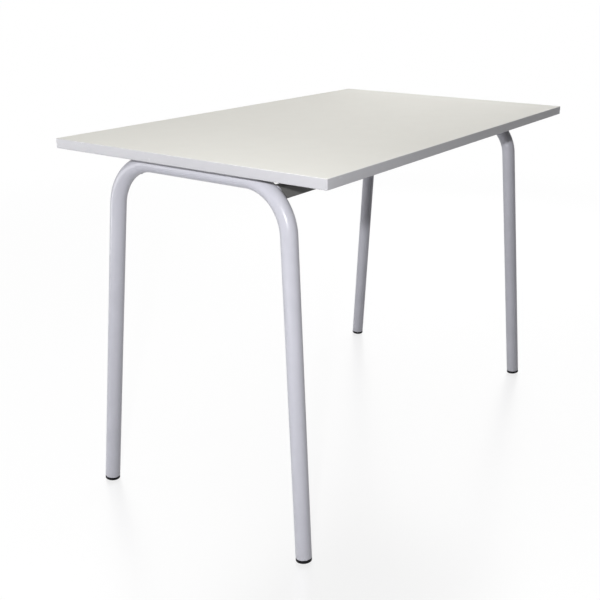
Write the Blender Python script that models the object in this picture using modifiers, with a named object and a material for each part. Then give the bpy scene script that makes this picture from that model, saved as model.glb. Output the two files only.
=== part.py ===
"""Double school desk: a laminated board on two leaning U-frames of bent tube, tied by two rails.

Metres, +Z up. The origin is on the floor under the middle of the top.
X runs along the length of the top, Y across it, and the front is the -Y side.
"""
import math

import bmesh
import bpy
from mathutils import Vector

# Top
TOP_LENGTH = 1.000
TOP_WIDTH = 0.600
DESK_HEIGHT = 0.710
TOP_THICKNESS = 0.018
LAMINATE_THICKNESS = 0.0009
BAND_THICKNESS = 0.002
BAND_ARRIS = 0.0012

# Frames
TUBE_DIAMETER = 0.030
TUBE_WALL = 0.0015
BEND_RADIUS = 0.090
FRAME_INSET = 0.049
FRAME_LEAN = math.radians(3.5)
LEG_SPLAY = math.radians(5.0)
FOOT_SPREAD = 0.498

# Rails
RAIL_HEIGHT = 0.025
RAIL_WIDTH = 0.015
RAIL_WALL = 0.0015
RAIL_CORNER = 0.002
RAIL_FRONT_ANGLE = math.radians(53.5)
RAIL_BACK_ANGLE = math.radians(64.0)

# Foot plugs
PLUG_FLANGE = 0.0065
PLUG_FLANGE_ROUND = 0.0008
PLUG_FOOT_CUT = 0.0005
PLUG_STEM_LENGTH = 0.024
PLUG_CORE_DIAMETER = 0.0225
PLUG_FIN_COUNT = 3
PLUG_FIN_THICKNESS = 0.0022
PLUG_LEAD_IN = 0.003

# Screws that hold the top
SCREW_DIAMETER = 0.005
SCREW_LENGTH = 0.016
SCREW_TIP = 0.005
SCREW_TIP_END_RADIUS = 0.0004
SCREW_HEAD_DIAMETER = 0.010
SCREW_HEAD_HEIGHT = 0.0035
SCREW_SETBACK = 0.032

# Clearances
SEAT_GAP = 0.0003
GLUE_LINE = 0.0003
SCREW_FIT = 0.0003
ACCESS_FIT = 0.001
PLUG_FIT = 0.0003
CUT_OVERSHOOT = 0.005

# Facets
TUBE_SIDES = 24
BORE_SIDES = 16
BEND_STEPS = 12
PLUG_STEPS = 24
SCREW_STEPS = 12
ROUND_STEPS = 3

# Derived sizes
TUBE_RADIUS = TUBE_DIAMETER / 2
BORE_RADIUS = TUBE_RADIUS - TUBE_WALL
UNDERSIDE = DESK_HEIGHT - TOP_THICKNESS
RUN_HEIGHT = UNDERSIDE - SEAT_GAP - TUBE_RADIUS
RUN_OFFSET = TOP_LENGTH / 2 - FRAME_INSET
LEG_DROP = RUN_HEIGHT / math.cos(FRAME_LEAN)
BEND_CENTRE_DEPTH = BEND_RADIUS
BEND_CENTRE_Y = (
    FOOT_SPREAD / 2
    - (LEG_DROP - BEND_CENTRE_DEPTH) * math.tan(LEG_SPLAY)
    - BEND_RADIUS / math.cos(LEG_SPLAY)
)
LEG_TILT = math.acos(math.cos(FRAME_LEAN) * math.cos(LEG_SPLAY))
PLUG_RISE = TUBE_RADIUS * math.tan(LEG_TILT)
PLUG_TOP = PLUG_RISE + PLUG_FLANGE
TUBE_END = PLUG_TOP + SEAT_GAP
SCREW_Y = BEND_CENTRE_Y - SCREW_SETBACK
BORE_FLAT = BORE_RADIUS * math.cos(math.pi / BORE_SIDES)
SCREW_SEAT = RUN_HEIGHT + math.sqrt(BORE_FLAT**2 - (SCREW_HEAD_DIAMETER / 2) ** 2) - SEAT_GAP
BANDED_LENGTH = TOP_LENGTH - 2 * (BAND_THICKNESS + GLUE_LINE)
BANDED_WIDTH = TOP_WIDTH - 2 * (BAND_THICKNESS + GLUE_LINE)

# Colours from the photograph, as linear values
LAMINATE_WHITE = (0.70, 0.69, 0.655, 1.0)
BAND_WHITE = (0.68, 0.68, 0.70, 1.0)
CHIPBOARD_TAN = (0.42, 0.30, 0.18, 1.0)
PAINT_GREY = (0.56, 0.56, 0.62, 1.0)
PLUG_BLACK = (0.012, 0.012, 0.013, 1.0)
ZINC = (0.62, 0.62, 0.60, 1.0)

SIDES = {"left": -1, "right": 1}
FACES = {"front": -1, "back": 1}


def clear_scene():
    """Remove every object that is already in the file."""
    for old in list(bpy.data.objects):
        bpy.data.objects.remove(old, do_unlink=True)


def make_collection(name):
    """A collection linked to the scene."""
    group = bpy.data.collections.new(name)
    bpy.context.scene.collection.children.link(group)
    return group


def make_material(name, colour, roughness, metallic=0.0):
    """A Principled BSDF of one colour."""
    material = bpy.data.materials.new(name)
    material.use_nodes = True
    shader = material.node_tree.nodes["Principled BSDF"]
    shader.inputs["Base Color"].default_value = colour
    shader.inputs["Roughness"].default_value = roughness
    shader.inputs["Metallic"].default_value = metallic
    return material


def add_object(name, mesh, group, finish=None):
    """An object for a finished mesh, in its collection, with its own copy of a finish."""
    piece = bpy.data.objects.new(name, mesh)
    group.objects.link(piece)
    if finish is not None:
        mesh.materials.clear()
        mesh.materials.append(make_material(name + "_finish", *finish))
    return piece


def as_cutter(piece):
    """Mark an object as a cutting tool that isn't part of the desk."""
    piece.hide_render = True
    piece.display_type = "WIRE"
    return piece


def cut(piece, cutter):
    """Take a cutter's volume out of a piece."""
    tool = piece.modifiers.new("cut_" + cutter.name, "BOOLEAN")
    tool.operation = "DIFFERENCE"
    tool.solver = "EXACT"
    tool.object = cutter


def baked_mesh(source, name):
    """A welded mesh of a curve or of an object with modifiers; the source is removed."""
    bpy.context.view_layer.update()
    graph = bpy.context.evaluated_depsgraph_get()
    mesh = bpy.data.meshes.new_from_object(source.evaluated_get(graph), depsgraph=graph)
    mesh.name = name
    bpy.data.objects.remove(source, do_unlink=True)
    bm = bmesh.new()
    bm.from_mesh(mesh)
    bmesh.ops.remove_doubles(bm, verts=bm.verts, dist=0.00001)
    bmesh.ops.recalc_face_normals(bm, faces=bm.faces)
    bm.to_mesh(mesh)
    bm.free()
    return mesh


def smooth(mesh, sharp_angle=math.radians(35)):
    """Shade a round piece smooth, with its real edges kept sharp."""
    mesh.shade_smooth()
    mesh.set_sharp_from_angle(angle=sharp_angle)


def box_mesh(name, size, rounded=None, radius=0.0):
    """A box about the origin; rounded(edge) picks the edges that get a radius."""
    bm = bmesh.new()
    bmesh.ops.create_cube(bm, size=1.0)
    bmesh.ops.scale(bm, vec=Vector(size), verts=bm.verts)
    if rounded is not None:
        edges = [edge for edge in bm.edges if rounded(edge)]
        bmesh.ops.bevel(bm, geom=edges, offset=radius, segments=ROUND_STEPS, profile=0.5, affect="EDGES")
    mesh = bpy.data.meshes.new(name)
    bm.to_mesh(mesh)
    bm.free()
    return mesh


def turned_mesh(name, profile, steps):
    """A solid of revolution about Z from (radius, height) points that run top to bottom."""
    line = bpy.data.meshes.new(name + "_profile")
    points = [(radius, 0.0, height) for radius, height in profile]
    line.from_pydata(points, [(i, i + 1) for i in range(len(points) - 1)], [])
    turned = bpy.data.objects.new(name + "_turned", line)
    bpy.context.scene.collection.objects.link(turned)
    spin = turned.modifiers.new("turn", "SCREW")
    spin.axis = "Z"
    spin.steps = steps
    spin.render_steps = steps
    spin.use_merge_vertices = True
    spin.merge_threshold = 0.00001
    mesh = baked_mesh(turned, name)
    smooth(mesh)
    return mesh


def swept_mesh(name, path, radius, sides):
    """A round bar with closed ends along a list of points."""
    curve = bpy.data.curves.new(name + "_path", "CURVE")
    curve.dimensions = "3D"
    curve.bevel_depth = radius
    curve.bevel_resolution = sides // 2 - 2
    curve.use_fill_caps = True
    spline = curve.splines.new("POLY")
    spline.points.add(len(path) - 1)
    for point, place in zip(spline.points, path):
        point.co = (*place, 1.0)
    bar = bpy.data.objects.new(name + "_bar", curve)
    bpy.context.scene.collection.objects.link(bar)
    mesh = baked_mesh(bar, name)
    smooth(mesh)
    return mesh


def on_bend(angle):
    """A point of the +Y bend's centre line in the frame's own plane, as (y, z) from the run's axis."""
    y = BEND_CENTRE_Y + BEND_RADIUS * math.cos(angle)
    z = -BEND_CENTRE_DEPTH + BEND_RADIUS * math.sin(angle)
    return y, z


def on_leg(up):
    """A point of the +Y leg's axis, a distance up from the floor, as (y, z) from the run's axis."""
    y = FOOT_SPREAD / 2 - up * math.sin(LEG_SPLAY)
    z = -LEG_DROP + up * math.cos(LEG_SPLAY)
    return y, z


def frame_path(end):
    """The U's centre line in its own plane; its legs end a distance up from the floor."""
    half = [on_leg(end)]
    for step in range(BEND_STEPS + 1):
        share = step / BEND_STEPS
        half.append(on_bend(LEG_SPLAY + share * (math.pi / 2 - LEG_SPLAY)))
    return [(0.0, -y, z) for y, z in half] + [(0.0, y, z) for y, z in reversed(half)]


def place_in_frame(piece, side):
    """Stand a U's own plane at its end of the desk, with the feet leaning outwards."""
    piece.location = (side * RUN_OFFSET, 0.0, RUN_HEIGHT)
    piece.rotation_euler = (0.0, -side * FRAME_LEAN, 0.0)


def frame_point(side, y, z):
    """World place of a point of a U's own plane."""
    x = side * (RUN_OFFSET - z * math.sin(FRAME_LEAN))
    return x, y, RUN_HEIGHT + z * math.cos(FRAME_LEAN)


def screw_hole_profile():
    """Radius and height of a stepped screw hole, top to bottom; height 0 is under the screw's head."""
    shank = SCREW_DIAMETER / 2 + SCREW_FIT
    access = SCREW_HEAD_DIAMETER / 2 + ACCESS_FIT
    top = SCREW_LENGTH + SCREW_FIT
    step = RUN_HEIGHT - SCREW_SEAT
    bottom = step - TUBE_RADIUS - CUT_OVERSHOOT
    return [(0.0, top), (shank, top), (shank, step), (access, step), (access, bottom), (0.0, bottom)]


def make_screw_holes(cutters):
    """Stepped cutters, by side: wide below so the head goes in, narrow above, blind in the core."""
    holes = {}
    for side_name, side in SIDES.items():
        holes[side_name] = []
        for face_name, face in FACES.items():
            name = f"screw_hole_{face_name}_{side_name}"
            hole = add_object(name, turned_mesh(name, screw_hole_profile(), SCREW_STEPS), cutters)
            hole.location = (side * RUN_OFFSET, face * SCREW_Y, SCREW_SEAT)
            holes[side_name].append(as_cutter(hole))
    return holes


def make_board(desk, holes):
    """Chipboard core with a laminate sheet on top and a backing sheet underneath."""
    core_thickness = TOP_THICKNESS - 2 * (LAMINATE_THICKNESS + GLUE_LINE)
    layers = {
        "top_laminate": (DESK_HEIGHT - LAMINATE_THICKNESS / 2, LAMINATE_THICKNESS),
        "top_core": (DESK_HEIGHT - TOP_THICKNESS / 2, core_thickness),
        "backing_laminate": (UNDERSIDE + LAMINATE_THICKNESS / 2, LAMINATE_THICKNESS),
    }
    finishes = {
        "top_laminate": (LAMINATE_WHITE, 0.42),
        "top_core": (CHIPBOARD_TAN, 0.9),
        "backing_laminate": (LAMINATE_WHITE, 0.5),
    }
    for name, (height, thickness) in layers.items():
        mesh = box_mesh(name, (BANDED_LENGTH, BANDED_WIDTH, thickness))
        sheet = add_object(name, mesh, desk, finishes[name])
        sheet.location.z = height
        if name != "top_laminate":
            for hole in holes["left"] + holes["right"]:
                cut(sheet, hole)


def make_edge_bands(desk):
    """Four edge bands: the long ones run the full length and cover the ends of the short ones."""
    middle = DESK_HEIGHT - TOP_THICKNESS / 2
    finish = (BAND_WHITE, 0.38)

    def outer_long_band(edge):
        return all(vert.co.y < 0 for vert in edge.verts)

    def outer_short_band(edge):
        level = abs(edge.verts[0].co.z - edge.verts[1].co.z) < GLUE_LINE
        return level and all(vert.co.x > 0 for vert in edge.verts)

    for name, face in FACES.items():
        size = (TOP_LENGTH, BAND_THICKNESS, TOP_THICKNESS)
        mesh = box_mesh("edge_band_" + name, size, outer_long_band, BAND_ARRIS)
        band = add_object("edge_band_" + name, mesh, desk, finish)
        band.location = (0.0, face * (TOP_WIDTH - BAND_THICKNESS) / 2, middle)
        band.rotation_euler.z = 0.0 if face < 0 else math.pi
    for name, side in SIDES.items():
        size = (BAND_THICKNESS, BANDED_WIDTH, TOP_THICKNESS)
        mesh = box_mesh("edge_band_" + name, size, outer_short_band, BAND_ARRIS)
        band = add_object("edge_band_" + name, mesh, desk, finish)
        band.location = (side * (TOP_LENGTH - BAND_THICKNESS) / 2, 0.0, middle)
        band.rotation_euler.z = 0.0 if side > 0 else math.pi


def make_frame(name, side, desk, cutters, holes):
    """One U-frame: a bent tube with an open bore, its run drilled from below for the screws."""
    tube = add_object(
        name,
        swept_mesh(name, frame_path(TUBE_END), TUBE_RADIUS, TUBE_SIDES),
        desk,
        (PAINT_GREY, 0.3),
    )
    place_in_frame(tube, side)
    bore_path = frame_path(TUBE_END - CUT_OVERSHOOT)
    bore = add_object(name + "_bore", swept_mesh(name + "_bore", bore_path, BORE_RADIUS, BORE_SIDES), cutters)
    place_in_frame(as_cutter(bore), side)
    for hole in holes:
        cut(tube, hole)
    cut(tube, bore)
    return tube


def make_saddle(side_name, side, cutters):
    """The outer form of a U-frame with the seat gap round it, which shapes the rails' ends."""
    name = "saddle_" + side_name
    mesh = swept_mesh(name, frame_path(TUBE_END), TUBE_RADIUS + SEAT_GAP, TUBE_SIDES)
    saddle = add_object(name, mesh, cutters)
    place_in_frame(as_cutter(saddle), side)
    return saddle


def make_rail(name, face, angle, desk, cutters, saddles):
    """A rectangular tube between the bends of the two frames, its ends shaped to the round tubes."""
    bend_y, bend_z = on_bend(angle)
    half_length, rail_y, rail_z = frame_point(1, face * bend_y, bend_z)

    def along_x(edge):
        return abs(edge.verts[0].co.x - edge.verts[1].co.x) > half_length

    size = (2 * half_length, RAIL_WIDTH, RAIL_HEIGHT)
    rail = add_object(name, box_mesh(name, size, along_x, RAIL_CORNER), desk, (PAINT_GREY, 0.32))
    rail.location = (0.0, rail_y, rail_z)
    inner = (
        2 * (half_length + CUT_OVERSHOOT),
        RAIL_WIDTH - 2 * RAIL_WALL,
        RAIL_HEIGHT - 2 * RAIL_WALL,
    )
    bore = as_cutter(add_object(name + "_bore", box_mesh(name + "_bore", inner), cutters))
    bore.location = rail.location
    cut(rail, bore)
    for saddle in saddles:
        cut(rail, saddle)


def plug_profile():
    """Radius and height of a foot plug about the leg's axis, top to bottom; height 0 is under the tube's end.

    The flange is square to the leg. Its lower rim just clears the floor, and a shallow dome under it goes
    a little way below the floor, where it is cut level.
    """
    core = PLUG_CORE_DIAMETER / 2
    rim = TUBE_RADIUS - PLUG_FLANGE_ROUND
    fin = BORE_RADIUS - PLUG_FIT
    pitch = PLUG_STEM_LENGTH / (PLUG_FIN_COUNT + 1)
    points = [(0.0, PLUG_STEM_LENGTH), (core - PLUG_LEAD_IN / 2, PLUG_STEM_LENGTH)]
    points.append((core, PLUG_STEM_LENGTH - PLUG_LEAD_IN))
    for count in range(PLUG_FIN_COUNT, 0, -1):
        middle = count * pitch
        points.append((core, middle + PLUG_FIN_THICKNESS))
        points.append((fin, middle))
        points.append((core, middle - PLUG_FIN_THICKNESS / 2))
    points.append((core, 0.0))
    points.append((rim, 0.0))
    points.append((TUBE_RADIUS, -PLUG_FLANGE_ROUND))
    points.append((TUBE_RADIUS, PLUG_FLANGE_ROUND - PLUG_FLANGE))
    for step in range(ROUND_STEPS + 1):
        share = 1 - step / ROUND_STEPS
        points.append((rim * share, -PLUG_FLANGE - (PLUG_RISE + PLUG_FOOT_CUT) * (1 - share**2)))
    return points


def make_floor_cutter(cutters):
    """A block below the floor that gives each tilted plug its level foot."""
    reach = 2 * max(TOP_LENGTH, TOP_WIDTH)
    mesh = box_mesh("floor_plane", (reach, reach, DESK_HEIGHT))
    floor = as_cutter(add_object("floor_plane", mesh, cutters))
    floor.location.z = -DESK_HEIGHT / 2
    return floor


def make_foot_plugs(frame, side_name, desk, floor):
    """Two finned plugs in a frame's open ends, cut level where they stand on the floor."""
    leg_y, leg_z = on_leg(PLUG_TOP)
    for face_name, face in FACES.items():
        name = f"foot_plug_{face_name}_{side_name}"
        plug = add_object(name, turned_mesh(name, plug_profile(), PLUG_STEPS), desk, (PLUG_BLACK, 0.55))
        plug.parent = frame
        plug.location = (0.0, face * leg_y, leg_z)
        plug.rotation_euler.x = face * LEG_SPLAY
        cut(plug, floor)


def screw_profile():
    """Radius and height of a pan head screw, point up, top to bottom; height 0 is under its head."""
    shank = SCREW_DIAMETER / 2
    head = SCREW_HEAD_DIAMETER / 2
    points = [
        (0.0, SCREW_LENGTH),
        (SCREW_TIP_END_RADIUS, SCREW_LENGTH),
        (shank, SCREW_LENGTH - SCREW_TIP),
        (shank, 0.0),
        (head, 0.0),
        (head, -SCREW_HEAD_HEIGHT / 2),
    ]
    for step in range(1, ROUND_STEPS + 1):
        angle = step / ROUND_STEPS * math.pi / 2
        points.append((head * math.cos(angle), -SCREW_HEAD_HEIGHT / 2 * (1 + math.sin(angle))))
    points[-1] = (0.0, -SCREW_HEAD_HEIGHT)
    return points


def make_screws(desk):
    """The screws that hold the top, with their heads inside the runs against the upper wall."""
    for side_name, side in SIDES.items():
        for face_name, face in FACES.items():
            name = f"top_screw_{face_name}_{side_name}"
            mesh = turned_mesh(name, screw_profile(), SCREW_STEPS)
            screw = add_object(name, mesh, desk, (ZINC, 0.35, 1.0))
            screw.location = (side * RUN_OFFSET, face * SCREW_Y, SCREW_SEAT)


def main():
    """Build the desk."""
    clear_scene()
    desk = make_collection("double_school_desk")
    cutters = make_collection("cutters")
    holes = make_screw_holes(cutters)
    floor = make_floor_cutter(cutters)
    make_board(desk, holes)
    make_edge_bands(desk)
    saddles = [make_saddle(name, side, cutters) for name, side in SIDES.items()]
    for name, side in SIDES.items():
        frame = make_frame("frame_" + name, side, desk, cutters, holes[name])
        make_foot_plugs(frame, name, desk, floor)
    make_rail("rail_front", FACES["front"], RAIL_FRONT_ANGLE, desk, cutters, saddles)
    make_rail("rail_back", FACES["back"], RAIL_BACK_ANGLE, desk, cutters, saddles)
    make_screws(desk)


main()
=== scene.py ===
"""Looks of the double school desk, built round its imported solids.

Metres, +Z up, in the frame of the solids: left is -X, front is -Y, and the floor is at zero.
Shapes are surfaces worked out as whole arrays; finishes are node materials on object coordinates.
"""
import math

import bmesh
import bpy
import numpy as np
from mathutils import Matrix, Vector


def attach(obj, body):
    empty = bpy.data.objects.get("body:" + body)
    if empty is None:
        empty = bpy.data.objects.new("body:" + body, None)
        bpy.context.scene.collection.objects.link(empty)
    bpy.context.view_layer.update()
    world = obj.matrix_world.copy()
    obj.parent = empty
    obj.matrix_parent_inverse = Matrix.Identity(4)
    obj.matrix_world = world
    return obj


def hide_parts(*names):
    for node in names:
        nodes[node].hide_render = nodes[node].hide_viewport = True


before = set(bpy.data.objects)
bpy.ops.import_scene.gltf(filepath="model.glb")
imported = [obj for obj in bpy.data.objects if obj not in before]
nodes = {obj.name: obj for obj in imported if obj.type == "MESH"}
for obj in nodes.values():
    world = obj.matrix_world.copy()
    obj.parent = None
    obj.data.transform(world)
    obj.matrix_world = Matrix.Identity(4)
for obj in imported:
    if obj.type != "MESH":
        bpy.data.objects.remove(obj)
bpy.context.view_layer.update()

SIDES = {"left": -1, "right": 1}
FACES = {"front": -1, "back": 1}

# Sizes of the top
TOP_HEIGHT = 0.710
TOP_THICKNESS = 0.018
HALF_LENGTH = 0.500
HALF_WIDTH = 0.300
LAMINATE = 0.0009
SHEET_ARRIS = 0.00022
SHEET_CORNER = 0.0004
BAND_DEPTH = 0.002
BAND_ARRIS = 0.0013
BAND_INNER_ROUND = 0.00015
BAND_CORNER = 0.0019
SEAM = 0.00004
# Where the middle of a round arris lies, as a share of its radius
ARRIS_MIDDLE = 0.3

# Sizes of the frames
TUBE_RADIUS = 0.015
TUBE_WALL = 0.0015
BORE_RADIUS = TUBE_RADIUS - TUBE_WALL
BEND_RADIUS = 0.090
LEAN = math.radians(3.5)
SPLAY = math.radians(5.0)
RUN_OFFSET = 0.451
RUN_HEIGHT = 0.6767
FOOT_REACH = 0.249
LEG_DROP = RUN_HEIGHT / math.cos(LEAN)
LEG_RISE = LEG_DROP - BEND_RADIUS
BEND_CENTRE = FOOT_REACH - LEG_RISE * math.tan(SPLAY) - BEND_RADIUS / math.cos(SPLAY)
SCREW_SETBACK = 0.032
SCREW_PLACE = BEND_CENTRE - SCREW_SETBACK
ACCESS_RADIUS = 0.006

# Sizes of the rails and their welds
RAIL_HALF_WIDTH = 0.0075
RAIL_HALF_HEIGHT = 0.0125
RAIL_CORNER = 0.002
RAIL_WALL = 0.0015
RAIL_ANGLES = {"front": math.radians(53.5), "back": math.radians(64.0)}
CLEAR_OF_TUBE = 0.040
WELD_OUT = 0.0012
WELD_ALONG = 0.0022
WELD_SHIFT = 0.0004
WELD_DROP = 0.0027
WELD_SWELL = 0.13
WELD_SAG = 0.07
WELD_SAG_LENGTH = 0.0053
# Height, length and start of each wave that makes the weld's drops uneven
WELD_WANDER = ((0.35, 0.0071, 0.0), (0.25, 0.0123, 1.0))

# Sizes of the foot plugs
PLUG_FLANGE = 0.0065
PLUG_RISE = TUBE_RADIUS * math.tan(math.acos(math.cos(LEAN) * math.cos(SPLAY)))
PLUG_TOP = PLUG_RISE + PLUG_FLANGE
# How far the dome of a foot plug would reach below the floor, where it is laid level
PLUG_CUT = 0.0005
PLUG_GAP = 0.0002
PLUG_STEM = 0.0240
PLUG_CORE = 0.01125
PLUG_TIP = 0.0030
PLUG_TIP_INSET = 0.0018
PLUG_SHOULDER = (0.0006, 0.0008)
PLUG_POLE = 0.0004
PLUG_FINS = (0.018, 0.012, 0.006)
FIN_FIT = 0.0003
FIN_TIP = 0.0003
FIN_ABOVE = 0.0022
FIN_BELOW = 0.0011
PLUG_EDGE = 0.0010
PLUG_UPPER_EDGE = 0.0006
PLUG_UPPER_ROUND = (0.0001, 0.0002)

# Sizes of the screws
SCREW_LENGTH = 0.016
SCREW_TIP = 0.005
SCREW_POINT_SHARE = 0.04
SCREW_CORE = 0.0017
SCREW_CREST = 0.0025
SCREW_PITCH = 0.0018
THREAD_HALF_SHARE = 0.28
THREAD_START = 0.0012
THREAD_RUN_OUT = 0.001
SCREW_HEAD = 0.005
HEAD_NECK_SHARE = 0.56
HEAD_RIM = 0.0010
HEAD_DOME = 0.0024
RECESS_REACH = 0.0030
RECESS_SLOPE = 0.0016
RECESS_DEPTH = 0.0021
RECESS_MIDDLE_DEPTH = 0.0012
RECESS_MIDDLE_SHARE = 0.75
SLOT_HALF_WIDTH = 0.0007
SEAT_GAP = 0.0003
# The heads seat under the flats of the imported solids' bores, which have this many sides
SOLID_BORE_SIDES = 16

# Fineness of the surfaces
AROUND = 72
HOLE_SPAN = 7
HOLE_WINDOW = 0.010
HOLE_STATIONS = 9
BEND_STATIONS = 41
LEG_STATIONS = 41
NEAR_STATIONS = 6
FAR_STATIONS = 9
PATCH_STEPS = (0.35, 0.7, 1.0)
RAIL_STATIONS = 25
RAIL_CORNER_STEPS = 6
WELD_STATIONS = 260
WELD_CORNER_STEPS = 16
WELD_AROUND = 14
SHEET_CORNER_STEPS = 3
BAND_STATIONS = 33
BAND_ARRIS_STEPS = 6
BAND_CORNER_STATIONS = 8
PLUG_AROUND = 64
PLUG_EDGE_STATIONS = 7
PLUG_DOME_STATIONS = 18
SCREW_AROUND = 40
SHANK_STATIONS = 150
HEAD_STATIONS = 26
POLE_GAP = 0.03
HALVINGS = 48


# Meshes from arrays

def index_quads(index):
    """Quads between rows that are closed loops: each vertex, the next in its row, and both a row on."""
    after = np.roll(index, -1, axis=1)
    return np.stack([index[:-1], after[:-1], after[1:], index[1:]], axis=-1).reshape(-1, 4)


def add_piece(name, points, faces, finish, replaced=None, sharp=35.0):
    """A finished object at the origin from points and faces, facing outwards, riding on the desk."""
    mesh = bpy.data.meshes.new(name)
    mesh.from_pydata(points.reshape(-1, 3).tolist(), [], faces)
    shell = bmesh.new()
    shell.from_mesh(mesh)
    bmesh.ops.recalc_face_normals(shell, faces=shell.faces)
    shell.to_mesh(mesh)
    shell.free()
    mesh.shade_smooth()
    mesh.set_sharp_from_angle(angle=math.radians(sharp))
    piece = bpy.data.objects.new(name, mesh)
    bpy.context.scene.collection.objects.link(piece)
    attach(piece, "root")
    if replaced:
        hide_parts(replaced)
    mesh.materials.append(finish)


def loft(rows, ring=False):
    """Faces between closed loops of points, one loop a row; a ring joins its last row to its first."""
    index = np.arange(rows.shape[0] * rows.shape[1]).reshape(rows.shape[:2])
    if ring:
        return index_quads(np.vstack([index, index[:1]])).tolist()
    return index_quads(index).tolist() + [index[0, ::-1].tolist(), index[-1].tolist()]


def rounded_outline(half_a, half_b, radii, steps):
    """Loop of four quarter circles joined by straight sides, with a radius for each corner.

    The corners come in the order (+,+), (-,+), (-,-), (+,-). Returns the points and outward normals.
    """
    turn = np.arange(4)[:, None] * (np.pi / 2) + np.linspace(0.0, np.pi / 2, steps + 1)[None, :]
    normals = np.stack([np.cos(turn), np.sin(turn)], axis=-1)
    signs = np.array([(1, 1), (-1, 1), (-1, -1), (1, -1)], float)[:, None, :]
    radii = np.asarray(radii, float)[:, None, None]
    points = signs * (np.array([half_a, half_b]) - radii) + radii * normals
    return points.reshape(-1, 2), normals.reshape(-1, 2)


def turned(profile, steps, origin, axis):
    """Rows of a solid of revolution: each (radius, height) of the profile swept round an axis."""
    axis = np.asarray(axis, float) / np.linalg.norm(axis)
    across = np.cross(axis, (0.0, 1.0, 0.0))
    across /= np.linalg.norm(across)
    beside = np.cross(axis, across)
    turn = np.linspace(0.0, 2 * np.pi, steps, endpoint=False)
    ring = np.cos(turn)[:, None] * across + np.sin(turn)[:, None] * beside
    radius, height = np.asarray(profile, float).T
    return np.asarray(origin) + radius[:, None, None] * ring + height[:, None, None] * axis


# The frames

def plane_axes(side):
    """Origin, outward axis and upright axis of a leaning U-frame's plane; its third axis is world Y."""
    tilt = -side * LEAN
    outward = np.array([math.cos(tilt), 0.0, -math.sin(tilt)])
    upright = np.array([math.sin(tilt), 0.0, math.cos(tilt)])
    return np.array([side * RUN_OFFSET, 0.0, RUN_HEIGHT]), outward, upright


def centre_line(leg_end):
    """Stations of a U's centre line in its plane, front foot to back foot, as (y, z) and tangents.

    Half of it is a straight leg that rises at the splay angle, a circular bend that turns from the
    leg's direction to level, and half of the level run; the other half is its mirror image. Returns
    also the rows of the run that lie on either side of each access hole.
    """
    angle = np.linspace(SPLAY, np.pi / 2, BEND_STATIONS)
    bend = np.stack([
        BEND_CENTRE + BEND_RADIUS * np.cos(angle),
        -BEND_RADIUS + BEND_RADIUS * np.sin(angle),
    ], 1)
    bend_way = np.stack([np.sin(angle), -np.cos(angle)], 1)
    share = np.linspace(0.0, 1.0, LEG_STATIONS)[:-1, None]
    foot = np.array([FOOT_REACH - leg_end * math.sin(SPLAY), -LEG_DROP + leg_end * math.cos(SPLAY)])
    leg = foot + (bend[0] - foot) * share
    leg_way = np.repeat(bend_way[:1], len(leg), axis=0)
    window = (SCREW_PLACE + HOLE_WINDOW, SCREW_PLACE - HOLE_WINDOW)
    run_y = np.concatenate([
        np.linspace(BEND_CENTRE, window[0], NEAR_STATIONS)[1:],
        np.linspace(*window, HOLE_STATIONS)[1:],
        np.linspace(window[1], 0.0, FAR_STATIONS)[1:],
    ])
    run = np.stack([run_y, np.zeros_like(run_y)], 1)
    run_way = np.repeat(bend_way[-1:], len(run), axis=0)
    back = np.concatenate([leg, bend, run])
    way = np.concatenate([leg_way, bend_way, run_way])
    line = np.concatenate([back * (-1, 1), back[-2::-1]])
    tangent = np.concatenate([way * (1, -1), way[-2::-1]])
    first = len(leg) + len(bend) + NEAR_STATIONS - 2
    last = first + HOLE_STATIONS - 1
    holes = [(first, last), (len(line) - 1 - last, len(line) - 1 - first)]
    return line, tangent, holes


def tube_skin(side, radius, leg_end):
    """Rows of a tube of one radius along the U, and the patches that open it round the access holes.

    A row is a circle square to the centre line, which starts at the lowest point of the run.
    A patch runs from the border of a block of cells to the hole: the border's points are moved in steps
    along straight lines, in plan, to a circle, and stay on the round surface throughout.
    """
    origin, outward, upright = plane_axes(side)
    line, tangent, holes = centre_line(leg_end)
    turn = -side * LEAN + np.arange(AROUND) * 2 * np.pi / AROUND
    inner = np.stack([tangent[:, 1], -tangent[:, 0]], 1)
    plan = line[:, None, :] + radius * np.cos(turn)[None, :, None] * inner[:, None, :]
    rows = (
        origin
        + radius * np.sin(turn)[None, :, None] * outward
        + plan[..., :1] * np.array([0.0, 1.0, 0.0])
        + plan[..., 1:] * upright
    )
    span = np.arange(-HOLE_SPAN, HOLE_SPAN + 1) % AROUND
    borders = []
    patches = []
    for first, last in holes:
        along = np.arange(first, last + 1)
        border = np.concatenate([
            first * AROUND + span[:-1],
            along[:-1] * AROUND + span[-1],
            last * AROUND + span[:0:-1],
            along[:0:-1] * AROUND + span[0],
        ])
        edge = rows.reshape(-1, 3)[border] - origin
        middle = np.array([0.0, (line[first, 0] + line[last, 0]) / 2])
        flat = edge[:, :2] - middle
        rim = ACCESS_RADIUS * flat / np.linalg.norm(flat, axis=1, keepdims=True)
        step = np.array(PATCH_STEPS)[:, None, None]
        spot = flat + (rim - flat) * step
        depth = -np.sqrt(radius**2 - spot[..., 0] ** 2)
        patches.append(origin + np.concatenate([spot + middle, depth[..., None]], axis=-1))
        borders.append(border)
    return rows, holes, span, borders, patches


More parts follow.
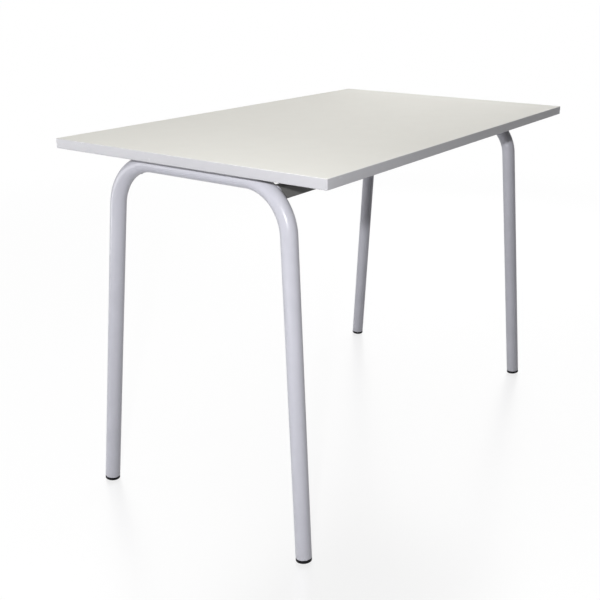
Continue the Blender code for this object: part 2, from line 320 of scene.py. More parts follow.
def drilled_tube(side, leg_end):
    """Points and faces of a hollow bent tube with its ends open and two access holes under its run."""
    points = []
    faces = []
    count = 0
    ends = []
    rims = []
    for radius in (TUBE_RADIUS, BORE_RADIUS):
        rows, holes, span, borders, patches = tube_skin(side, radius, leg_end)
        index = count + np.arange(rows.shape[0] * AROUND).reshape(-1, AROUND)
        cells = np.ones((rows.shape[0] - 1, AROUND), bool)
        for first, last in holes:
            cells[first:last, span[:-1]] = False
        faces.append(index_quads(index)[cells.ravel()])
        points.append(rows.reshape(-1, 3))
        count += rows.shape[0] * AROUND
        ends.append((index[0], index[-1]))
        loops = []
        for border, patch in zip(borders, patches):
            ladder = count + np.arange(patch.shape[0] * patch.shape[1]).reshape(patch.shape[:2])
            faces.append(index_quads(np.vstack([border + index[0, 0], ladder])))
            points.append(patch.reshape(-1, 3))
            count += ladder.size
            loops.append(ladder[-1])
        rims.append(loops)
    for outer, inner in zip(ends[0] + tuple(rims[0]), ends[1] + tuple(rims[1])):
        faces.append(index_quads(np.vstack([outer, inner])))
    return np.concatenate(points), np.concatenate(faces).tolist()


def make_frames(finish):
    """Both U-frames: a bent tube each, drilled from below for the screws."""
    for name, side in SIDES.items():
        points, faces = drilled_tube(side, PLUG_TOP + PLUG_GAP)
        add_piece("bent_tube_" + name, points, faces, finish, "frame_" + name)


# Rails and welds

def reach_of_bend(y, z, side, radius):
    """How far along X a line at (y, z) goes before it meets the round surface of a frame's bend.

    The surface is the set of points at one radius from the bend's centre line, so the distance from
    that circle, less the radius, is halved down to zero between a point clear of the tube and its plane.
    """
    origin, outward, upright = plane_axes(side)

    def clearance(x):
        spot = np.stack([x, y, z], axis=-1) - origin
        off = spot @ outward
        rise = spot @ upright
        ring = np.hypot(np.abs(spot[..., 1]) - BEND_CENTRE, rise + BEND_RADIUS)
        return np.hypot(off, ring - BEND_RADIUS) - radius

    near = np.full_like(y, side * (RUN_OFFSET - CLEAR_OF_TUBE))
    far = side * RUN_OFFSET + (z - RUN_HEIGHT) * math.tan(-side * LEAN)
    for _ in range(HALVINGS):
        middle = (near + far) / 2
        clear = clearance(middle) > 0
        near = np.where(clear, middle, near)
        far = np.where(clear, far, middle)
    return near


def make_rails(finish, weld_finish):
    """Both rails: a rounded rectangular tube along X, its ends shaped to the bends, with weld beads.

    Each point of the section's loop runs straight along X, from one bend's round surface to the other's.
    """
    share = np.linspace(0.0, 1.0, RAIL_STATIONS)[:, None]
    for name, face in FACES.items():
        angle = RAIL_ANGLES[name]
        bend_y = BEND_CENTRE + BEND_RADIUS * math.cos(angle)
        bend_z = RUN_HEIGHT + (-BEND_RADIUS + BEND_RADIUS * math.sin(angle)) * math.cos(LEAN)
        skins = []
        for inset, corner in ((0.0, RAIL_CORNER), (RAIL_WALL, RAIL_CORNER - RAIL_WALL)):
            halves = RAIL_HALF_WIDTH - inset, RAIL_HALF_HEIGHT - inset
            loop, _ = rounded_outline(*halves, [corner] * 4, RAIL_CORNER_STEPS)
            y = face * bend_y + loop[:, 0]
            z = bend_z + loop[:, 1]
            left = reach_of_bend(y, z, -1, TUBE_RADIUS)
            right = reach_of_bend(y, z, 1, TUBE_RADIUS)
            x = left + (right - left) * share
            skins.append(np.stack([x, np.broadcast_to(y, x.shape), np.broadcast_to(z, x.shape)], axis=-1))
        rows = np.concatenate([skins[0], skins[1][::-1]])
        faces = loft(rows, ring=True)
        add_piece("tie_rail_" + name, rows, faces, finish, "rail_" + name)
        for side_name, side in SIDES.items():
            make_weld(f"weld_{name}_{side_name}", face * bend_y, bend_z, side, weld_finish)


def make_weld(name, rail_y, rail_z, side, finish):
    """A weld bead round a rail's end: a small rippled ring that lies in the corner of rail and bend.

    Its middle follows the line where the rail meets the tube. Round that line goes a circle, stretched
    along the rail, whose radius swells and sinks with the distance walked, once for each drop of the weld.
    """
    corners = [RAIL_CORNER] * 4
    loop, normals = rounded_outline(RAIL_HALF_WIDTH, RAIL_HALF_HEIGHT, corners, WELD_CORNER_STEPS)
    closed = np.vstack([loop, loop[:1]])
    closed_normals = np.vstack([normals, normals[:1]])
    walked = np.concatenate([[0.0], np.cumsum(np.linalg.norm(np.diff(closed, axis=0), axis=1))])
    at = np.linspace(0.0, 1.0, WELD_STATIONS, endpoint=False) * walked[-1]
    y = rail_y + np.interp(at, walked, closed[:, 0])
    z = rail_z + np.interp(at, walked, closed[:, 1])
    facing = np.stack([np.interp(at, walked, part) for part in closed_normals.T], axis=1)
    facing /= np.linalg.norm(facing, axis=1, keepdims=True)
    x = reach_of_bend(y, z, side, TUBE_RADIUS)
    wander = sum(height * np.sin(at / length + start) for height, length, start in WELD_WANDER)
    swell = WELD_SWELL * np.sin(2 * np.pi * at / WELD_DROP + wander)
    ripple = 1.0 + swell + WELD_SAG * np.sin(at / WELD_SAG_LENGTH)
    turn = np.linspace(0.0, 2 * np.pi, WELD_AROUND, endpoint=False)
    out = WELD_OUT * ripple[:, None] * np.cos(turn)
    along = -side * WELD_ALONG * ripple[:, None] * np.sin(turn)
    rows = np.stack([
        x[:, None] + along - side * WELD_SHIFT,
        y[:, None] + out * facing[:, :1],
        z[:, None] + out * facing[:, 1:],
    ], axis=-1)
    add_piece(name, rows, loft(rows, ring=True), finish, sharp=60.0)


# The top

def make_sheet(finish):
    """The top laminate: a stack of rectangular loops, drawn in a little at the trimmed upper edge."""
    half_a = HALF_LENGTH - BAND_DEPTH - SEAM
    half_b = HALF_WIDTH - BAND_DEPTH - SEAM
    layers = [
        (0.0, TOP_HEIGHT - LAMINATE),
        (0.0, TOP_HEIGHT - SHEET_ARRIS),
        (SHEET_ARRIS * ARRIS_MIDDLE, TOP_HEIGHT - SHEET_ARRIS * ARRIS_MIDDLE),
        (SHEET_ARRIS, TOP_HEIGHT),
    ]
    corners = [SHEET_CORNER] * 4
    rows = []
    for inset, height in layers:
        loop, _ = rounded_outline(half_a - inset, half_b - inset, corners, SHEET_CORNER_STEPS)
        rows.append(np.column_stack([loop, np.full(len(loop), height)]))
    rows = np.array(rows)
    add_piece("laminate_sheet", rows, loft(rows), finish, "top_laminate", sharp=20.0)


def band_rows(half, inner, corner):
    """A band's section carried along its length, with its outer side drawn in round the end corners.

    The section is a rectangle, depth by height, with round arrises on its outer side only. Near an end the
    depth shrinks by the sagitta of a quarter circle, so the end corner is round too.
    """
    radii = [BAND_ARRIS, BAND_INNER_ROUND, BAND_INNER_ROUND, BAND_ARRIS]
    section, _ = rounded_outline(BAND_DEPTH / 2, TOP_THICKNESS / 2, radii, BAND_ARRIS_STEPS)
    turn = np.linspace(0.0, np.pi / 2, BAND_CORNER_STATIONS if corner else 1)
    ease = half - corner + corner * np.sin(turn)
    straight = np.linspace(-1.0, 1.0, BAND_STATIONS)[1:-1] * (half - corner)
    along = np.concatenate([-ease[::-1], straight, ease])
    past = np.clip(np.abs(along) - (half - corner), 0.0, corner)
    drawn = corner - np.sqrt(corner**2 - past**2)
    depth = (section[None, :, 0] + BAND_DEPTH / 2) * (1.0 - drawn[:, None] / BAND_DEPTH) + inner
    height = np.broadcast_to(section[:, 1] + TOP_HEIGHT - TOP_THICKNESS / 2, depth.shape)
    return np.broadcast_to(along[:, None], depth.shape), depth, height


def make_bands(finish):
    """Four edge bands: the long ones run past the ends of the short ones and round the corners."""
    along, depth, height = band_rows(HALF_LENGTH, HALF_WIDTH - BAND_DEPTH, BAND_CORNER)
    for name, face in FACES.items():
        rows = np.stack([along, face * depth, height], axis=-1)
        add_piece("band_" + name, rows, loft(rows), finish, "edge_band_" + name)
    along, depth, height = band_rows(HALF_WIDTH - BAND_DEPTH - SEAM, HALF_LENGTH - BAND_DEPTH, 0.0)
    for name, side in SIDES.items():
        rows = np.stack([side * depth, along, height], axis=-1)
        add_piece("band_" + name, rows, loft(rows), finish, "edge_band_" + name)


# Plugs and screws

def plug_profile():
    """Radius and height of a foot plug, top to bottom, with height 0 at the upper face of its flange.

    A stem with three barbed fins, a flange with round edges, and a shallow dome: a parabola of the radius.
    """
    points = [
        (PLUG_POLE, PLUG_STEM),
        (PLUG_CORE - PLUG_TIP_INSET, PLUG_STEM),
        (PLUG_CORE - PLUG_SHOULDER[0], PLUG_STEM - PLUG_SHOULDER[1]),
        (PLUG_CORE, PLUG_STEM - PLUG_TIP),
    ]
    for middle in PLUG_FINS:
        points += [
            (PLUG_CORE, middle + FIN_ABOVE),
            (BORE_RADIUS - FIN_FIT, middle + FIN_TIP),
            (BORE_RADIUS - FIN_FIT, middle - FIN_TIP),
            (PLUG_CORE, middle - FIN_BELOW),
        ]
    points += [
        (PLUG_CORE, 0.0),
        (TUBE_RADIUS - PLUG_UPPER_EDGE, 0.0),
        (TUBE_RADIUS - PLUG_UPPER_ROUND[0], -PLUG_UPPER_ROUND[1]),
        (TUBE_RADIUS, -PLUG_UPPER_EDGE),
    ]
    turn = np.linspace(0.0, np.pi / 2, PLUG_EDGE_STATIONS)
    rim = TUBE_RADIUS - PLUG_EDGE
    lower = np.column_stack([
        rim + PLUG_EDGE * np.cos(turn),
        -PLUG_FLANGE + PLUG_EDGE * (1.0 - np.sin(turn)),
    ])
    share = np.linspace(1.0, POLE_GAP, PLUG_DOME_STATIONS)[1:]
    dome = np.column_stack([rim * share, -PLUG_FLANGE - (PLUG_RISE + PLUG_CUT) * (1.0 - share**2)])
    return np.concatenate([points, lower, dome])


def make_plugs(finish):
    """Four foot plugs: the profile turned about each leg, with what would go below the floor laid level."""
    profile = plug_profile()
    across = np.array([0.0, 1.0, 0.0])
    for side_name, side in SIDES.items():
        origin, _, upright = plane_axes(side)
        for face_name, face in FACES.items():
            axis = -face * math.sin(SPLAY) * across + math.cos(SPLAY) * upright
            foot = origin + face * FOOT_REACH * across - LEG_DROP * upright
            rows = turned(profile, PLUG_AROUND, foot + axis * PLUG_TOP, axis)
            rows[..., 2] = np.maximum(rows[..., 2], 0.0)
            name = f"{face_name}_{side_name}"
            add_piece("plug_" + name, rows, loft(rows), finish, "foot_plug_" + name)


def make_screws(finish):
    """Four wood screws, point up: a threaded shank and a domed head with a cross recess, seen from below.

    The thread's radius follows a wave along a helix: distance up the shank, less a pitch for each turn round
    it. The recess is a cross of two slots with sloping ends, sunk into the dome of the head.
    """
    bore_flat = BORE_RADIUS * math.cos(math.pi / SOLID_BORE_SIDES)
    seat = RUN_HEIGHT + math.sqrt(bore_flat**2 - SCREW_HEAD**2) - SEAT_GAP
    turn = np.linspace(0.0, 2 * np.pi, SCREW_AROUND, endpoint=False)
    up = np.linspace(SCREW_LENGTH, 0.0, SHANK_STATIONS)
    taper = np.clip((SCREW_LENGTH - up) / SCREW_TIP, SCREW_POINT_SHARE, 1.0)
    phase = (up[:, None] / SCREW_PITCH - turn[None, :] / (2 * np.pi)) % 1.0
    tooth = np.clip(1.0 - np.abs(phase - 0.5) / THREAD_HALF_SHARE, 0.0, 1.0)
    tooth = tooth * np.clip((up[:, None] - THREAD_START) / THREAD_RUN_OUT, 0.0, 1.0)
    shank = taper[:, None] * (SCREW_CORE + (SCREW_CREST - SCREW_CORE) * tooth)
    fall = np.linspace(np.pi / 2, POLE_GAP, HEAD_STATIONS)[1:]
    reach = SCREW_HEAD * np.concatenate([[HEAD_NECK_SHARE, 1.0, 1.0], np.sin(fall)])
    dome = -np.concatenate([[0.0, 0.0, HEAD_RIM], HEAD_RIM + HEAD_DOME * np.cos(fall)])
    flat_x = reach[:, None] * np.cos(turn)
    flat_y = reach[:, None] * np.sin(turn)
    arm = np.minimum(np.abs(flat_x), np.abs(flat_y)) < SLOT_HALF_WIDTH
    inside = np.clip((RECESS_REACH - np.hypot(flat_x, flat_y)) / RECESS_SLOPE, 0.0, 1.0)
    middle = RECESS_MIDDLE_DEPTH * (inside > RECESS_MIDDLE_SHARE)
    sunk = np.where(arm, RECESS_DEPTH, middle) * inside
    sunk[: len(reach) - len(fall)] = 0.0
    radius = np.concatenate([shank, np.broadcast_to(reach[:, None], flat_x.shape)])
    height = np.concatenate([np.broadcast_to(up[:, None], shank.shape), dome[:, None] + sunk])
    local = np.stack([radius * np.cos(turn), radius * np.sin(turn), height + seat], axis=-1)
    for side_name, side in SIDES.items():
        for face_name, face in FACES.items():
            rows = local + np.array([side * RUN_OFFSET, face * SCREW_PLACE, 0.0])
            name = f"{face_name}_{side_name}"
            replaced = "top_screw_" + name
            add_piece("wood_screw_" + name, rows, loft(rows), finish, replaced, sharp=30.0)


# Node helpers

def place(tree, kind, inputs=None, **options):
    """Add a node, set its options, and give each named input a value or a link."""
    item = tree.nodes.new(kind)
    for option, value in options.items():
        setattr(item, option, value)
    for key, value in (inputs or {}).items():
        if isinstance(value, bpy.types.NodeSocket):
            tree.links.new(value, item.inputs[key])
        else:
            item.inputs[key].default_value = value
    return item


def math_node(tree, operation, first, second=0.0, third=0.0, clamp=False):
    """Result of one arithmetic step on values or sockets."""
    values = {0: first, 1: second, 2: third}
    return place(tree, "ShaderNodeMath", values, operation=operation, use_clamp=clamp).outputs[0]


def scaled(tree, value, factor):
    """Value times a factor."""
    return math_node(tree, "MULTIPLY", value, factor)


def varied(tree, base, value, amount):
    """A base number plus an amount of a value."""
    return math_node(tree, "MULTIPLY_ADD", value, amount, base)


def blend_colour(tree, share, first, second):
    """Colour that goes from the first to the second as share goes from 0 to 1."""
    return place(tree, "ShaderNodeMix", {0: share, 6: first, 7: second}, data_type="RGBA").outputs[2]


def span_value(tree, value, low, high, to_low, to_high):
    """Value moved from one range to another and held inside it."""
    limits = {"Value": value, "From Min": low, "From Max": high, "To Min": to_low, "To Max": to_high}
    return place(tree, "ShaderNodeMapRange", limits, clamp=True).outputs[0]


def mask(tree, value, low, high):
    """Share that goes from 0 to 1 as a value goes from low to high."""
    return span_value(tree, value, low, high, 0.0, 1.0)


def noise(tree, vector, scale, detail=3.0, roughness=0.5):
    """Noise value of a vector, about one feature in 1/scale metres."""
    settings = {"Vector": vector, "Scale": scale, "Detail": detail, "Roughness": roughness}
    return place(tree, "ShaderNodeTexNoise", settings).outputs[0]


def object_place(tree):
    """Object coordinates of the shaded point."""
    return tree.nodes.new("ShaderNodeTexCoord").outputs["Object"]


# Shared effects

def new_group(name, inputs, outputs):
    """An empty shader node group with float inputs and outputs: its tree, entry, exit and coordinates."""
    tree = bpy.data.node_groups.new(name, "ShaderNodeTree")
    for label, value in inputs.items():
        socket = tree.interface.new_socket(label, in_out="INPUT", socket_type="NodeSocketFloat")
        socket.default_value = value
    for label in outputs:
        tree.interface.new_socket(label, in_out="OUTPUT", socket_type="NodeSocketFloat")
    entry = tree.nodes.new("NodeGroupInput").outputs
    leave = tree.nodes.new("NodeGroupOutput").inputs
    return tree, entry, leave, object_place(tree)


def pebble_group():
    """Moulded or pressed surface texture: soft pebbles with a finer grain over them."""
    inputs = {"Scale": 900.0, "Grain": 0.35}
    tree, entry, leave, vector = new_group("pebble_texture", inputs, ["Height", "Tone"])
    settings = {"Vector": vector, "Scale": entry["Scale"], "Smoothness": 0.6}
    cells = place(tree, "ShaderNodeTexVoronoi", settings, feature="SMOOTH_F1").outputs["Distance"]
    fine = noise(tree, vector, scale=scaled(tree, entry["Scale"], 3.1), detail=2.0)
    grain = scaled(tree, fine, entry["Grain"])
    tree.links.new(math_node(tree, "ADD", cells, grain), leave["Height"])
    broad = noise(tree, vector, scale=scaled(tree, entry["Scale"], 0.02), detail=4.0)
    tree.links.new(broad, leave["Tone"])
    return tree


def use_group():
    """Marks of use: broad wiped smudges, and fine scratches that cross in two directions."""
    inputs = {"Size": 7.0, "Fineness": 90.0}
    tree, entry, leave, vector = new_group("marks_of_use", inputs, ["Smudges", "Scratches"])
    broad = noise(tree, vector, scale=entry["Size"], detail=5.0, roughness=0.6)
    tree.links.new(mask(tree, broad, low=0.45, high=0.68), leave["Smudges"])
    lines = []
    for angle, seed in ((0.5, 0.0), (-0.9, 3.7)):
        settings = {
            "Vector": vector,
            "Location": (seed, seed, 0.0),
            "Rotation": (0.0, 0.0, angle),
            "Scale": (0.05, 1.0, 0.4),
        }
        turned_way = place(tree, "ShaderNodeMapping", settings).outputs[0]
        fineness = scaled(tree, entry["Fineness"], 4.0)
        streak = noise(tree, turned_way, scale=fineness, detail=2.0, roughness=0.4)
        patch = noise(tree, vector, scale=math_node(tree, "ADD", entry["Size"], 5.0 + seed), detail=2.0)
        thin = mask(tree, streak, low=0.69, high=0.74)
        lines.append(scaled(tree, thin, mask(tree, patch, low=0.5, high=0.62)))
    tree.links.new(math_node(tree, "MAXIMUM", *lines), leave["Scratches"])
    return tree


def dust_group():
    """Dust and scuffs near the floor: strongest at the floor and gone at a given height, broken by noise."""
    inputs = {"Reach": 0.06, "Patch": 240.0}
    tree, entry, leave, vector = new_group("floor_dust", inputs, ["Dust"])
    height = place(tree, "ShaderNodeSeparateXYZ", {0: vector}).outputs["Z"]
    fade = math_node(tree, "SUBTRACT", 1.0, math_node(tree, "DIVIDE", height, entry["Reach"]), clamp=True)
    patch = noise(tree, vector, scale=entry["Patch"], detail=5.0, roughness=0.65)
    broken = mask(tree, patch, low=0.42, high=0.66)
    tree.links.new(scaled(tree, math_node(tree, "POWER", fade, 2.0), broken), leave["Dust"])
    return tree


pebble_texture = pebble_group()
marks_of_use = use_group()
floor_dust = dust_group()


def place_group(tree, group, **values):
    """A shared effect in a material, with its own values."""
    item = tree.nodes.new("ShaderNodeGroup")
    item.node_tree = group
    for key, value in values.items():
        item.inputs[key].default_value = value
    return item.outputs


# Colours of the finishes
TOP_COLOURS = ((0.684, 0.676, 0.638, 1.0), (0.671, 0.663, 0.625, 1.0))
BACKING_COLOURS = ((0.640, 0.635, 0.610, 1.0), (0.615, 0.610, 0.585, 1.0))
LAMINATE_SCRATCH = (0.80, 0.80, 0.78, 1.0)
BAND_COLOURS = ((0.450, 0.448, 0.472, 1.0), (0.434, 0.432, 0.454, 1.0))
BAND_SCRATCH = (0.80, 0.80, 0.82, 1.0)
# Painted highlight: a pale colour, close to the top's, laid on the band's upper arris
BAND_ARRIS_HIGHLIGHT = (0.640, 0.634, 0.620, 1.0)
FRAME_COLOURS = ((0.463, 0.463, 0.514, 1.0), (0.442, 0.442, 0.490, 1.0))
# The rails' colours are a dark grey, about a third as light as the frames, set to how dark the rails look
# under the top
RAIL_COLOURS = ((0.130, 0.130, 0.126, 1.0), (0.118, 0.118, 0.114, 1.0))
PAINT_SCUFF = (0.62, 0.62, 0.64, 1.0)
PAINT_DUST = (0.33, 0.32, 0.30, 1.0)
PLUG_COLOURS = ((0.004, 0.004, 0.005, 1.0), (0.008, 0.008, 0.009, 1.0))
PLUG_SCRATCH = (0.09, 0.09, 0.09, 1.0)
PLUG_DUST = (0.16, 0.155, 0.145, 1.0)
ZINC_COLOURS = ((0.55, 0.55, 0.55, 1.0), (0.68, 0.68, 0.67, 1.0))
ZINC_BLOOM = (0.62, 0.58, 0.46, 1.0)
FLAKE_COLOURS = ((0.30, 0.19, 0.10, 1.0), (0.56, 0.42, 0.27, 1.0))
FLAKE_VOID = (0.10, 0.06, 0.03, 1.0)


# Finishes

def new_material(name, **constants):
    """A material with a Principled shader and its constant values; returns its tree and shader too."""
    material = bpy.data.materials.new(name)
    material.use_nodes = True
    tree = material.node_tree
    shader = tree.nodes["Principled BSDF"].inputs
    for key, value in constants.items():
        shader[key.replace("_", " ")].default_value = value
    return material, tree, shader


def set_bump(tree, shader, height, strength, distance):
    """Bump from a height to the shader's normal."""
    bump = place(tree, "ShaderNodeBump", {"Height": height, "Strength": strength, "Distance": distance})
    tree.links.new(bump.outputs[0], shader["Normal"])


def laminate_finish(name, colours, roughness):
    """Melamine laminate: fine pebble texture, a faint cloudiness, smudges and hairline scratches."""
    material, tree, shader = new_material(name, Specular_IOR_Level=0.04)
    pebble = place_group(tree, pebble_texture, Scale=1150.0, Grain=0.3)
    marks = place_group(tree, marks_of_use, Size=5.0, Fineness=60.0)
    cloud = mask(tree, pebble["Tone"], low=0.35, high=0.65)
    tint = blend_colour(tree, scaled(tree, cloud, 0.6), *colours)
    worn = scaled(tree, marks["Scratches"], 0.18)
    tree.links.new(blend_colour(tree, worn, tint, LAMINATE_SCRATCH), shader["Base Color"])
    polish = varied(tree, roughness, marks["Smudges"], amount=-0.06)
    rough = math_node(tree, "ADD", polish, scaled(tree, marks["Scratches"], 0.12))
    tree.links.new(rough, shader["Roughness"])
    set_bump(tree, shader, pebble["Height"], strength=0.22, distance=0.00012)
    return material


def band_finish():
    """Plastic edge band: satin, with a fine pebble and rubbed patches, and a painted highlight: its upper
    arris is coloured pale, close to the top's colour.
    """
    material, tree, shader = new_material("edge_band_plastic", Specular_IOR_Level=0.4)
    pebble = place_group(tree, pebble_texture, Scale=1700.0, Grain=0.5)
    marks = place_group(tree, marks_of_use, Size=11.0, Fineness=120.0)
    tint = blend_colour(tree, scaled(tree, pebble["Tone"], 0.7), *BAND_COLOURS)
    rubbed = scaled(tree, marks["Scratches"], 0.25)
    face = blend_colour(tree, rubbed, tint, BAND_SCRATCH)
    height = place(tree, "ShaderNodeSeparateXYZ", {0: object_place(tree)}).outputs["Z"]
    # Painted highlight: the upper part of the band's round arris is coloured pale, so it reads as a lit edge
    arris_middle = TOP_HEIGHT - ARRIS_MIDDLE * BAND_ARRIS
    arris_highlight = mask(tree, height, low=TOP_HEIGHT - BAND_ARRIS, high=arris_middle)
    tree.links.new(blend_colour(tree, arris_highlight, face, BAND_ARRIS_HIGHLIGHT), shader["Base Color"])
    rough = varied(tree, 0.42, marks["Smudges"], amount=-0.08)
    tree.links.new(rough, shader["Roughness"])
    set_bump(tree, shader, pebble["Height"], strength=0.18, distance=0.0001)
    return material


def paint_finish(name, colours, gloss):
    """Powder coat: orange peel, small nibs, soft cloudiness, scuffs, and dust near the floor."""
    material, tree, shader = new_material(
        name, Specular_IOR_Level=0.15 + gloss, Coat_Weight=gloss, Coat_Roughness=0.14
    )
    vector = object_place(tree)
    peel = noise(tree, vector, scale=420.0, detail=2.0, roughness=0.45)
    swell = noise(tree, vector, scale=95.0, detail=2.0)
    nibs = mask(tree, noise(tree, vector, scale=900.0, detail=1.0), low=0.73, high=0.80)
    marks = place_group(tree, marks_of_use, Size=9.0, Fineness=130.0)
    dust = place_group(tree, floor_dust, Reach=0.075, Patch=210.0)["Dust"]
    cloud = mask(tree, noise(tree, vector, scale=14.0, detail=4.0, roughness=0.6), low=0.35, high=0.65)
    tint = blend_colour(tree, cloud, *colours)
    scuffed = blend_colour(tree, scaled(tree, marks["Scratches"], 0.22), tint, PAINT_SCUFF)
    dirty = scaled(tree, dust, 0.28)
    tree.links.new(blend_colour(tree, dirty, scuffed, PAINT_DUST), shader["Base Color"])
    rough = varied(tree, 0.30, marks["Smudges"], amount=0.07)
    dull = math_node(tree, "ADD", rough, scaled(tree, dust, 0.3))
    tree.links.new(dull, shader["Roughness"])
    height = math_node(tree, "ADD", scaled(tree, swell, 1.6), peel)
    height = math_node(tree, "ADD", height, scaled(tree, nibs, 0.5))
    set_bump(tree, shader, height, strength=0.20, distance=0.00012)
    return material


def plug_finish():
    """Black moulded plastic: fine moulded texture, greyed and dulled by dust at the floor."""
    material, tree, shader = new_material("plug_black_plastic", Specular_IOR_Level=0.10)
    pebble = place_group(tree, pebble_texture, Scale=1400.0, Grain=0.6)
    marks = place_group(tree, marks_of_use, Size=40.0, Fineness=220.0)
    dust = place_group(tree, floor_dust, Reach=0.006, Patch=420.0)["Dust"]
    tint = blend_colour(tree, pebble["Tone"], *PLUG_COLOURS)
    rubbed = blend_colour(tree, scaled(tree, marks["Scratches"], 0.3), tint, PLUG_SCRATCH)
    dusty = scaled(tree, dust, 0.05)
    tree.links.new(blend_colour(tree, dusty, rubbed, PLUG_DUST), shader["Base Color"])
    rough = varied(tree, 0.46, dust, amount=0.25)
    tree.links.new(rough, shader["Roughness"])
    set_bump(tree, shader, pebble["Height"], strength=0.35, distance=0.0001)
    return material


def zinc_finish():
    """Bright zinc plate: fine crystalline patches in tone and gloss, with a faint yellow bloom."""
    material, tree, shader = new_material("screw_zinc", Metallic=1.0)
    vector = object_place(tree)
    crystal = place(tree, "ShaderNodeTexVoronoi", {"Vector": vector, "Scale": 1300.0}).outputs["Color"]
    tone = place(tree, "ShaderNodeSeparateColor", {0: crystal}).outputs[0]
    stain = noise(tree, vector, scale=160.0, detail=4.0)
    bloom = span_value(tree, stain, low=0.45, high=0.7, to_low=0.0, to_high=0.5)
    plate = blend_colour(tree, tone, *ZINC_COLOURS)
    tree.links.new(blend_colour(tree, bloom, plate, ZINC_BLOOM), shader["Base Color"])
    rough = span_value(tree, tone, low=0.0, high=1.0, to_low=0.26, to_high=0.44)
    tree.links.new(rough, shader["Roughness"])
    set_bump(tree, shader, tone, strength=0.12, distance=0.00005)
    return material


def chipboard_finish():
    """Raw chipboard: flat flakes in several browns, dark voids between them, and a rough face."""
    material, tree, shader = new_material("core_chipboard")
    settings = {"Vector": object_place(tree), "Scale": (1.0, 1.0, 3.2)}
    flat_way = place(tree, "ShaderNodeMapping", settings).outputs[0]
    settings = {"Vector": flat_way, "Scale": 260.0, "Randomness": 1.0}
    flakes = place(tree, "ShaderNodeTexVoronoi", settings).outputs
    tone = place(tree, "ShaderNodeSeparateColor", {0: flakes["Color"]}).outputs[0]
    pale = blend_colour(tree, tone, *FLAKE_COLOURS)
    gaps = noise(tree, flat_way, scale=520.0, detail=4.0, roughness=0.6)
    voids = span_value(tree, gaps, low=0.30, high=0.42, to_low=0.75, to_high=0.0)
    tree.links.new(blend_colour(tree, voids, pale, FLAKE_VOID), shader["Base Color"])
    rough = span_value(tree, tone, low=0.0, high=1.0, to_low=0.78, to_high=0.95)
    tree.links.new(rough, shader["Roughness"])
    set_bump(tree, shader, flakes["Distance"], strength=0.5, distance=0.0006)
    return material


top_laminate = laminate_finish("top_melamine", TOP_COLOURS, roughness=0.66)
back_laminate = laminate_finish("backing_melamine", BACKING_COLOURS, roughness=0.55)
frame_coat = paint_finish("frame_powder_coat", FRAME_COLOURS, gloss=0.10)
rail_coat = paint_finish("rail_powder_coat", RAIL_COLOURS, gloss=0.0)

make_sheet(top_laminate)
make_bands(band_finish())
make_frames(frame_coat)
make_rails(rail_coat, frame_coat)
make_plugs(plug_finish())
make_screws(zinc_finish())
for node_name, finish in (("top_core", chipboard_finish()), ("backing_laminate", back_laminate)):
    nodes[node_name].data.materials.clear()
    nodes[node_name].data.materials.append(finish)


# Stage, light and camera

WHITE = (1.0, 1.0, 1.0, 1.0)
FLOOR_LEVEL = -0.0002
FLOOR_MIDDLE = 0.02
FLOOR_RINGS = (0.2, 60.0, 24)
FLOOR_AROUND = 96
FLOOR_TONE = (0.80, 0.80, 0.80, 1.0)
FLOOR_BOUNCE = (0.30, 0.30, 0.30, 1.0)
FLOOR_LIFT = 0.94
FLOOR_FADE = (1.0, 3.2)
FLOOR_SHEEN = 0.15
FLOOR_SHEEN_ROUGHNESS = 0.3
EVEN_COLOUR = (0.95, 0.97, 1.0, 1.0)
EVEN_LIGHT = 0.01

# Spots, aims and sizes of the lamps in metres, power in watts and spread in degrees
LAMPS = {
    "key_lamp": {
        "spot": (-1.60, -0.88, 1.095), "aim": (-0.10, 0.0, 0.40), "size": (0.04, 0.04), "power": 25.4,
    },
    "left_lamp": {
        "spot": (-1.50, 1.95, 0.45), "aim": (-0.20, 0.0, 0.35), "size": (1.3, 0.8), "power": 21.0,
        "colour": (0.98, 0.98, 1.0),
    },
    "low_lamp": {
        "spot": (-2.00, 0.35, 0.16), "aim": (-0.30, 0.10, 0.10), "size": (1.4, 0.24), "power": 1.2,
        "spread": 70.0,
    },
    "top_lamp": {
        "spot": (0.05, 0.20, 2.30), "aim": (0.0, 0.05, 0.70), "size": (2.0, 1.8), "power": 27.5,
        "colour": (1.0, 0.995, 0.985),
    },
    "far_lamp": {
        "spot": (2.30, 0.70, 1.00), "aim": (0.20, 0.05, 0.45), "size": (1.4, 0.8), "power": 46.0,
        "gloss": False,
    },
}

# Turn, dip and roll of the camera in radians, its focus in pixels and its sensor in millimetres
CAMERA_PLACE = Vector((-1.5243, -0.9840, 0.9749))
CAMERA_TURN = (0.9867, 0.3891, 0.0084)
CAMERA_FOCUS = 843.18
CAMERA_SHIFT = (-0.05, 0.05)
CAMERA_SENSOR = 36.0
PICTURE_WIDTH = 600.0


def ray_kinds(tree):
    """Light Path's outputs, and a value of 1 for the rays that show the background."""
    rays = tree.nodes.new("ShaderNodeLightPath").outputs
    seen = math_node(tree, "MAXIMUM", rays["Is Camera Ray"], rays["Is Glossy Ray"])
    return rays, math_node(tree, "MAXIMUM", seen, rays["Is Transmission Ray"])


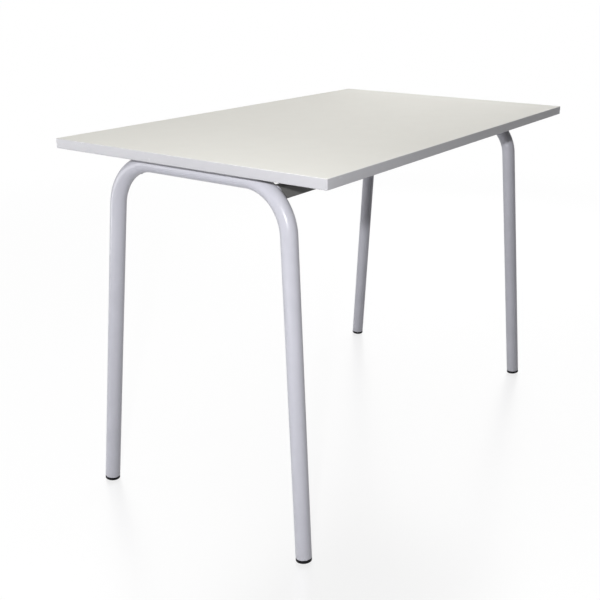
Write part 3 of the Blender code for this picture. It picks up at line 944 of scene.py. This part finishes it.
def make_floor():
    """A pale floor: a disc of rings whose colour runs out to plain white, with the desk's soft shadow on it.

    It has a faint sheen, and it is clear from below, so that the underside of the desk can be seen.
    """
    reach = np.concatenate([[FLOOR_MIDDLE], np.geomspace(*FLOOR_RINGS)])
    turn = np.linspace(2 * np.pi, 0.0, FLOOR_AROUND, endpoint=False)
    rows = np.stack([
        reach[:, None] * np.cos(turn),
        reach[:, None] * np.sin(turn),
        np.full((len(reach), len(turn)), FLOOR_LEVEL),
    ], axis=-1)
    index = np.arange(rows.shape[0] * rows.shape[1]).reshape(rows.shape[:2])
    faces = index_quads(index).tolist() + [index[0, ::-1].tolist()]
    mesh = bpy.data.meshes.new("studio_floor")
    mesh.from_pydata(rows.reshape(-1, 3).tolist(), [], faces)
    floor = bpy.data.objects.new("studio_floor", mesh)
    bpy.context.scene.collection.objects.link(floor)
    material = bpy.data.materials.new("floor_white")
    material.use_nodes = True
    tree = material.node_tree
    tree.nodes.clear()
    rays, seen = ray_kinds(tree)
    away = place(tree, "ShaderNodeVectorMath", {0: object_place(tree)}, operation="LENGTH").outputs["Value"]
    share = span_value(tree, away, *FLOOR_FADE, FLOOR_LIFT, 1.0)
    tone = blend_colour(tree, seen, FLOOR_BOUNCE, FLOOR_TONE)
    matte = place(tree, "ShaderNodeBsdfDiffuse", {"Color": tone}).outputs[0]
    white = place(tree, "ShaderNodeEmission", {"Color": WHITE, "Strength": 1.0}).outputs[0]
    lifted = math_node(tree, "MULTIPLY", seen, share)
    pale = place(tree, "ShaderNodeMixShader", {0: lifted, 1: matte, 2: white}).outputs[0]
    gloss = {"Color": WHITE, "Roughness": FLOOR_SHEEN_ROUGHNESS}
    sheen = place(tree, "ShaderNodeBsdfGlossy", gloss).outputs[0]
    shown = math_node(tree, "MULTIPLY", rays["Is Camera Ray"], FLOOR_SHEEN)
    mixed = place(tree, "ShaderNodeMixShader", {0: shown, 1: pale, 2: sheen}).outputs[0]
    below = tree.nodes.new("ShaderNodeNewGeometry").outputs["Backfacing"]
    clear = tree.nodes.new("ShaderNodeBsdfTransparent").outputs[0]
    open_below = place(tree, "ShaderNodeMixShader", {0: below, 1: mixed, 2: clear}).outputs[0]
    leave = tree.nodes.new("ShaderNodeOutputMaterial")
    tree.links.new(open_below, leave.inputs["Surface"])
    mesh.materials.append(material)


def make_world():
    """Plain even light for the desk, and plain white for what the camera and the gloss see behind it."""
    world = bpy.data.worlds.new("studio")
    bpy.context.scene.world = world
    world.use_nodes = True
    tree = world.node_tree
    tree.nodes.clear()
    _, seen = ray_kinds(tree)
    even = place(tree, "ShaderNodeBackground", {"Color": EVEN_COLOUR, "Strength": EVEN_LIGHT}).outputs[0]
    white = place(tree, "ShaderNodeBackground", {"Color": WHITE, "Strength": 1.0}).outputs[0]
    mixed = place(tree, "ShaderNodeMixShader", {0: seen, 1: even, 2: white}).outputs[0]
    leave = tree.nodes.new("ShaderNodeOutputWorld")
    tree.links.new(mixed, leave.inputs["Surface"])


def make_lamp(name, spot, aim, size, power, colour=(1.0, 1.0, 1.0), spread=180.0, gloss=True):
    """A rectangular lamp that faces a point, with a spread in degrees; gloss off hides it in reflections."""
    data = bpy.data.lights.new(name, "AREA")
    data.shape = "RECTANGLE"
    data.size, data.size_y = size
    data.energy = power
    data.color = colour
    data.spread = math.radians(spread)
    lamp = bpy.data.objects.new(name, data)
    lamp.location = spot
    lamp.rotation_euler = (Vector(aim) - Vector(spot)).to_track_quat("-Z", "Y").to_euler()
    lamp.visible_glossy = gloss
    bpy.context.scene.collection.objects.link(lamp)


def make_camera():
    """The photograph's view: a camera by its place, turn, dip and roll, with a small lens shift."""
    turn, dip, roll = CAMERA_TURN
    ahead = Vector((math.sin(turn) * math.cos(dip), math.cos(turn) * math.cos(dip), -math.sin(dip)))
    level = Vector((math.cos(turn), -math.sin(turn), 0.0))
    upward = level.cross(ahead)
    right = level * math.cos(roll) + upward * math.sin(roll)
    upward = upward * math.cos(roll) - level * math.sin(roll)
    data = bpy.data.cameras.new("photograph_view")
    data.sensor_width = CAMERA_SENSOR
    data.sensor_fit = "AUTO"
    data.lens = CAMERA_FOCUS / PICTURE_WIDTH * CAMERA_SENSOR
    data.shift_x, data.shift_y = CAMERA_SHIFT
    camera = bpy.data.objects.new("photograph_view", data)
    turned_axes = Matrix((right, upward, -ahead)).transposed().to_4x4()
    camera.matrix_world = Matrix.Translation(CAMERA_PLACE) @ turned_axes
    bpy.context.scene.collection.objects.link(camera)
    bpy.context.scene.camera = camera


make_floor()
make_world()
for lamp_name, settings in LAMPS.items():
    make_lamp(lamp_name, **settings)
make_camera()

bpy.context.scene.view_settings.view_transform = "Standard"
